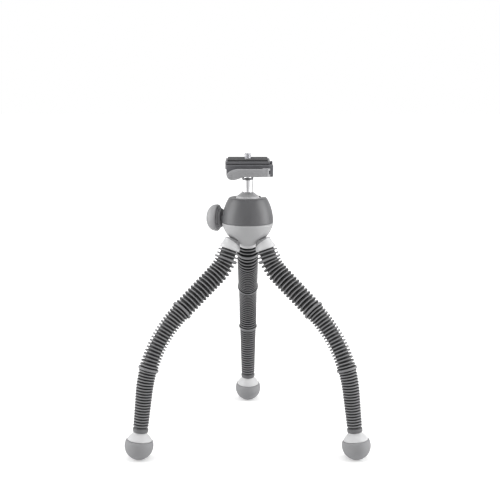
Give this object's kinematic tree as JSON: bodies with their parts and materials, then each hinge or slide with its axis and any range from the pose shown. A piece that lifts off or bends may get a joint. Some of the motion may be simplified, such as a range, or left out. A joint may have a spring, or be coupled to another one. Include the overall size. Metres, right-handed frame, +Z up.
{
  "type": "flexible leg tripod",
  "caption": "Small camera tripod: ball head with lock knob and lever clamp on bendable ribbed rubber legs with round rubber feet.",
  "frame": {"origin": "On the head's axis, on the plane that the three feet stand on.", "axes": "+Z up along the head's axis and the camera screw; -Y is the front, with the clamp lever; the rear leg lies along +Y."},
  "size_m": [0.232, 0.2046, 0.2839],
  "materials": {
    "dome_paint": "satin",
    "bowl_paint": "satin",
    "collar_paint": "satin",
    "sleeve_rubber": "matte",
    "core_alloy": "as machined",
    "cap_plastic": "fine texture",
    "foot_rubber": "matte",
    "polished_steel": "polished",
    "clamp_anodised": "dark anodised",
    "lever_paint": "satin",
    "knob_plastic": "satin",
    "knob_dark": "satin",
    "fastener_steel": "zinc plated",
    "lock_brass": "turned",
    "cup_nylon": "moulded",
    "seat_nylon": "moulded",
    "plate_rubber": "ribbed"
  },
  "bodies": {
    "head": {"upper_shell": "dome_paint", "lower_shell": "bowl_paint", "leg_nuts": "fastener_steel", "cup_seat": "seat_nylon", "rear_leg_collar": "collar_paint", "left_leg_collar": "collar_paint", "right_leg_collar": "collar_paint"},
    "cup": {"friction_cup": "cup_nylon"},
    "ball": {"ball": "polished_steel", "stem": "polished_steel", "stem_collar": "polished_steel", "clamp_screw": "fastener_steel"},
    "clamp": {"clamp_base": "clamp_anodised", "guide_pins": "fastener_steel", "lever_pin": "fastener_steel"},
    "jaw": {"clamp_jaw": "clamp_anodised"},
    "lever": {"clamp_lever": "lever_paint"},
    "plate": {"plate": "clamp_anodised", "plate_rubber": "plate_rubber"},
    "screw": {"camera_screw": "fastener_steel"},
    "lock": {"lock_pad": "lock_brass"},
    "knob": {"knob_cap": "knob_plastic", "knob_base": "knob_dark", "lock_screw": "fastener_steel"},
    "rear_leg_1": {"rear_leg_link_1": "core_alloy", "rear_leg_sleeve_1": "sleeve_rubber"},
    "rear_leg_2": {"rear_leg_link_2": "core_alloy", "rear_leg_sleeve_2": "sleeve_rubber"},
    "rear_leg_3": {"rear_leg_link_3": "core_alloy", "rear_leg_sleeve_3": "sleeve_rubber"},
    "rear_leg_4": {"rear_leg_link_4": "core_alloy", "rear_leg_sleeve_4": "sleeve_rubber"},
    "rear_leg_5": {"rear_leg_link_5": "core_alloy", "rear_leg_sleeve_5": "sleeve_rubber", "rear_leg_foot_cap": "cap_plastic", "rear_leg_foot_pad": "foot_rubber"},
    "left_leg_1": {"left_leg_link_1": "core_alloy", "left_leg_sleeve_1": "sleeve_rubber"},
    "left_leg_2": {"left_leg_link_2": "core_alloy", "left_leg_sleeve_2": "sleeve_rubber"},
    "left_leg_3": {"left_leg_link_3": "core_alloy", "left_leg_sleeve_3": "sleeve_rubber"},
    "left_leg_4": {"left_leg_link_4": "core_alloy", "left_leg_sleeve_4": "sleeve_rubber"},
    "left_leg_5": {"left_leg_link_5": "core_alloy", "left_leg_sleeve_5": "sleeve_rubber", "left_leg_foot_cap": "cap_plastic", "left_leg_foot_pad": "foot_rubber"},
    "right_leg_1": {"right_leg_link_1": "core_alloy", "right_leg_sleeve_1": "sleeve_rubber"},
    "right_leg_2": {"right_leg_link_2": "core_alloy", "right_leg_sleeve_2": "sleeve_rubber"},
    "right_leg_3": {"right_leg_link_3": "core_alloy", "right_leg_sleeve_3": "sleeve_rubber"},
    "right_leg_4": {"right_leg_link_4": "core_alloy", "right_leg_sleeve_4": "sleeve_rubber"},
    "right_leg_5": {"right_leg_link_5": "core_alloy", "right_leg_sleeve_5": "sleeve_rubber", "right_leg_foot_cap": "cap_plastic", "right_leg_foot_pad": "foot_rubber"}
  },
  "joints": [
    {"name": "cup_tilt", "type": "hinge", "parent": "head", "child": "cup", "pos_m": [0, 0, 0.23503], "axis": [0.866, 0.5, 0], "range_deg": [-20, 20]},
    {"name": "ball_tilt", "type": "hinge", "parent": "cup", "child": "ball", "pos_m": [0, 0, 0.23503], "axis": [-0.5, 0.866, 0], "range_deg": [-20, 90]},
    {"name": "clamp_spin", "type": "hinge", "parent": "ball", "child": "clamp", "pos_m": [0, 0, 0.26233], "axis": [0, 0, 1], "continuous": true},
    {"name": "lever_swing", "type": "hinge", "parent": "clamp", "child": "lever", "pos_m": [0.0174, -0.0255, 0.26433], "axis": [0, 0, 1], "range_deg": [0, 100]},
    {"name": "jaw_slide", "type": "slide", "parent": "clamp", "child": "jaw", "axis": [0, -1, 0], "range_m": [0, 0.0009]},
    {"name": "plate_slide", "type": "slide", "parent": "clamp", "child": "plate", "axis": [1, 0, 0], "range_m": [-0.01, 0.01]},
    {"name": "camera_screw_spin", "type": "hinge", "parent": "plate", "child": "screw", "pos_m": [0, 0, 0.27893], "axis": [0, 0, 1], "continuous": true},
    {"name": "lock_slide", "type": "slide", "parent": "head", "child": "lock", "axis": [-0.9659, 0.2588, 0], "range_m": [0, 0.001]},
    {"name": "knob_turn", "type": "hinge", "parent": "lock", "child": "knob", "pos_m": [-0.02468, 0.00661, 0.22053], "axis": [-0.9659, 0.2588, 0], "range_deg": [0, 360]},
    {"name": "rear_leg_bend_1", "type": "hinge", "parent": "head", "child": "rear_leg_1", "pos_m": [0, 0.02167, 0.1894], "axis": [1, 0, 0], "range_deg": [-25, 45], "deforming": ["rear_leg_sleeve_1"]},
    {"name": "rear_leg_bend_2", "type": "hinge", "parent": "rear_leg_1", "child": "rear_leg_2", "pos_m": [0, 0.0486, 0.1581], "axis": [0, -0.6428, -0.766], "range_deg": [-30, 30], "deforming": ["rear_leg_sleeve_2"]},
    {"name": "rear_leg_bend_3", "type": "hinge", "parent": "rear_leg_2", "child": "rear_leg_3", "pos_m": [0, 0.08042, 0.1307], "axis": [-1, 0, 0], "range_deg": [-30, 35], "deforming": ["rear_leg_sleeve_3"]},
    {"name": "rear_leg_bend_4", "type": "hinge", "parent": "rear_leg_3", "child": "rear_leg_4", "pos_m": [0, 0.10365, 0.09601], "axis": [0, 0.9192, 0.3938], "range_deg": [-30, 30], "deforming": ["rear_leg_sleeve_4"]},
    {"name": "rear_leg_bend_5", "type": "hinge", "parent": "rear_leg_4", "child": "rear_leg_5", "pos_m": [0, 0.11318, 0.05529], "axis": [1, 0, 0], "range_deg": [-30, 35], "deforming": ["rear_leg_sleeve_5"]},
    {"name": "left_leg_bend_1", "type": "hinge", "parent": "head", "child": "left_leg_1", "pos_m": [-0.01877, -0.01084, 0.1894], "axis": [-0.5, 0.866, 0], "range_deg": [-25, 45], "deforming": ["left_leg_sleeve_1"]},
    {"name": "left_leg_bend_2", "type": "hinge", "parent": "left_leg_1", "child": "left_leg_2", "pos_m": [-0.04209, -0.0243, 0.1581], "axis": [0.5567, 0.3214, -0.766], "range_deg": [-30, 30], "deforming": ["left_leg_sleeve_2"]},
    {"name": "left_leg_bend_3", "type": "hinge", "parent": "left_leg_2", "child": "left_leg_3", "pos_m": [-0.06964, -0.04021, 0.1307], "axis": [0.5, -0.866, 0], "range_deg": [-30, 35], "deforming": ["left_leg_sleeve_3"]},
    {"name": "left_leg_bend_4", "type": "hinge", "parent": "left_leg_3", "child": "left_leg_4", "pos_m": [-0.08977, -0.05183, 0.09601], "axis": [-0.7961, -0.4596, 0.3938], "range_deg": [-30, 30], "deforming": ["left_leg_sleeve_4"]},
    {"name": "left_leg_bend_5", "type": "hinge", "parent": "left_leg_4", "child": "left_leg_5", "pos_m": [-0.09802, -0.05659, 0.05529], "axis": [-0.5, 0.866, 0], "range_deg": [-30, 35], "deforming": ["left_leg_sleeve_5"]},
    {"name": "right_leg_bend_1", "type": "hinge", "parent": "head", "child": "right_leg_1", "pos_m": [0.01877, -0.01084, 0.1894], "axis": [-0.5, -0.866, 0], "range_deg": [-25, 45], "deforming": ["right_leg_sleeve_1"]},
    {"name": "right_leg_bend_2", "type": "hinge", "parent": "right_leg_1", "child": "right_leg_2", "pos_m": [0.04209, -0.0243, 0.1581], "axis": [-0.5567, 0.3214, -0.766], "range_deg": [-30, 30], "deforming": ["right_leg_sleeve_2"]},
    {"name": "right_leg_bend_3", "type": "hinge", "parent": "right_leg_2", "child": "right_leg_3", "pos_m": [0.06964, -0.04021, 0.1307], "axis": [0.5, 0.866, 0], "range_deg": [-30, 35], "deforming": ["right_leg_sleeve_3"]},
    {"name": "right_leg_bend_4", "type": "hinge", "parent": "right_leg_3", "child": "right_leg_4", "pos_m": [0.08977, -0.05183, 0.09601], "axis": [0.7961, -0.4596, 0.3938], "range_deg": [-30, 30], "deforming": ["right_leg_sleeve_4"]},
    {"name": "right_leg_bend_5", "type": "hinge", "parent": "right_leg_4", "child": "right_leg_5", "pos_m": [0.09802, -0.05659, 0.05529], "axis": [-0.5, -0.866, 0], "range_deg": [-30, 35], "deforming": ["right_leg_sleeve_5"]}
  ],
  "couplings": [
    {"joint": "jaw_slide", "follows": "lever_swing", "m_per_rad": 0.000515},
    {"joint": "knob_turn", "follows": "lock_slide", "rad_per_m": 6283.2}
  ]
}
